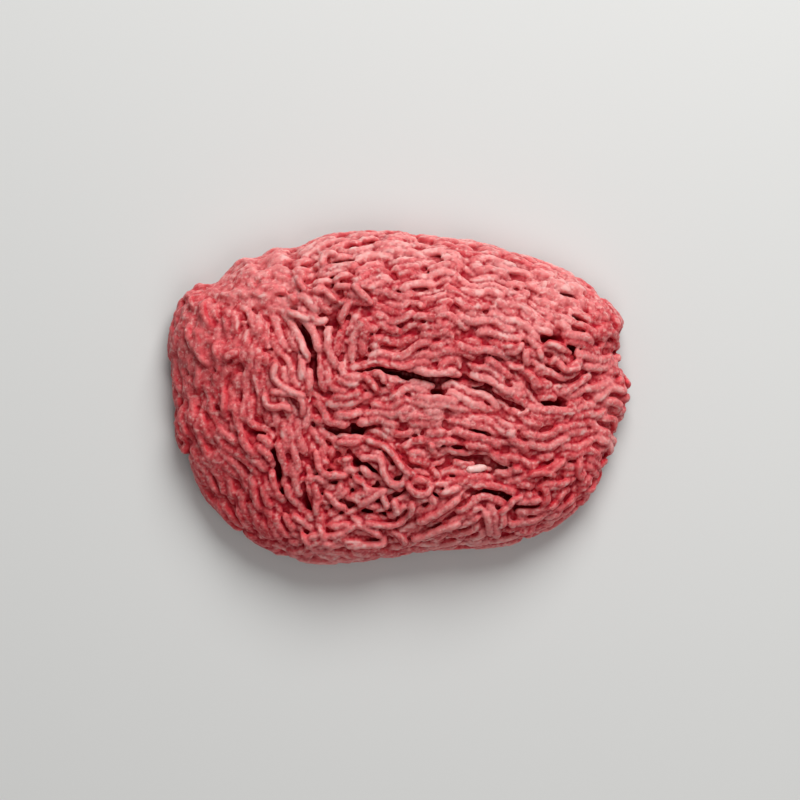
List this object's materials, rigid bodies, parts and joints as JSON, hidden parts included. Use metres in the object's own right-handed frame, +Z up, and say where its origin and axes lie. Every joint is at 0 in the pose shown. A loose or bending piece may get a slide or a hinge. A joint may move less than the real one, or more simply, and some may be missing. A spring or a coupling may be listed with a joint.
{
  "type": "heap of raw minced beef",
  "caption": "Low rounded heap of raw minced beef, its fine strands pressed into a block that has loosened and folded at the top.",
  "frame": {"origin": "middle of the heap's outline seen from above, at the surface it lies on", "axes": "+Z up; X along the heap's long side; the picture looks straight down with +X to its right and +Y to its top, so -Y is the heap's front"},
  "size_m": [0.19, 0.137, 0.0393],
  "materials": {
    "minced_beef": "moist raw lean beef, pink-red and streaked with pale ground-in fat, with a soft damp sheen"
  },
  "bodies": {
    "root": {"minced_beef": "minced_beef"}
  },
  "joints": []
}
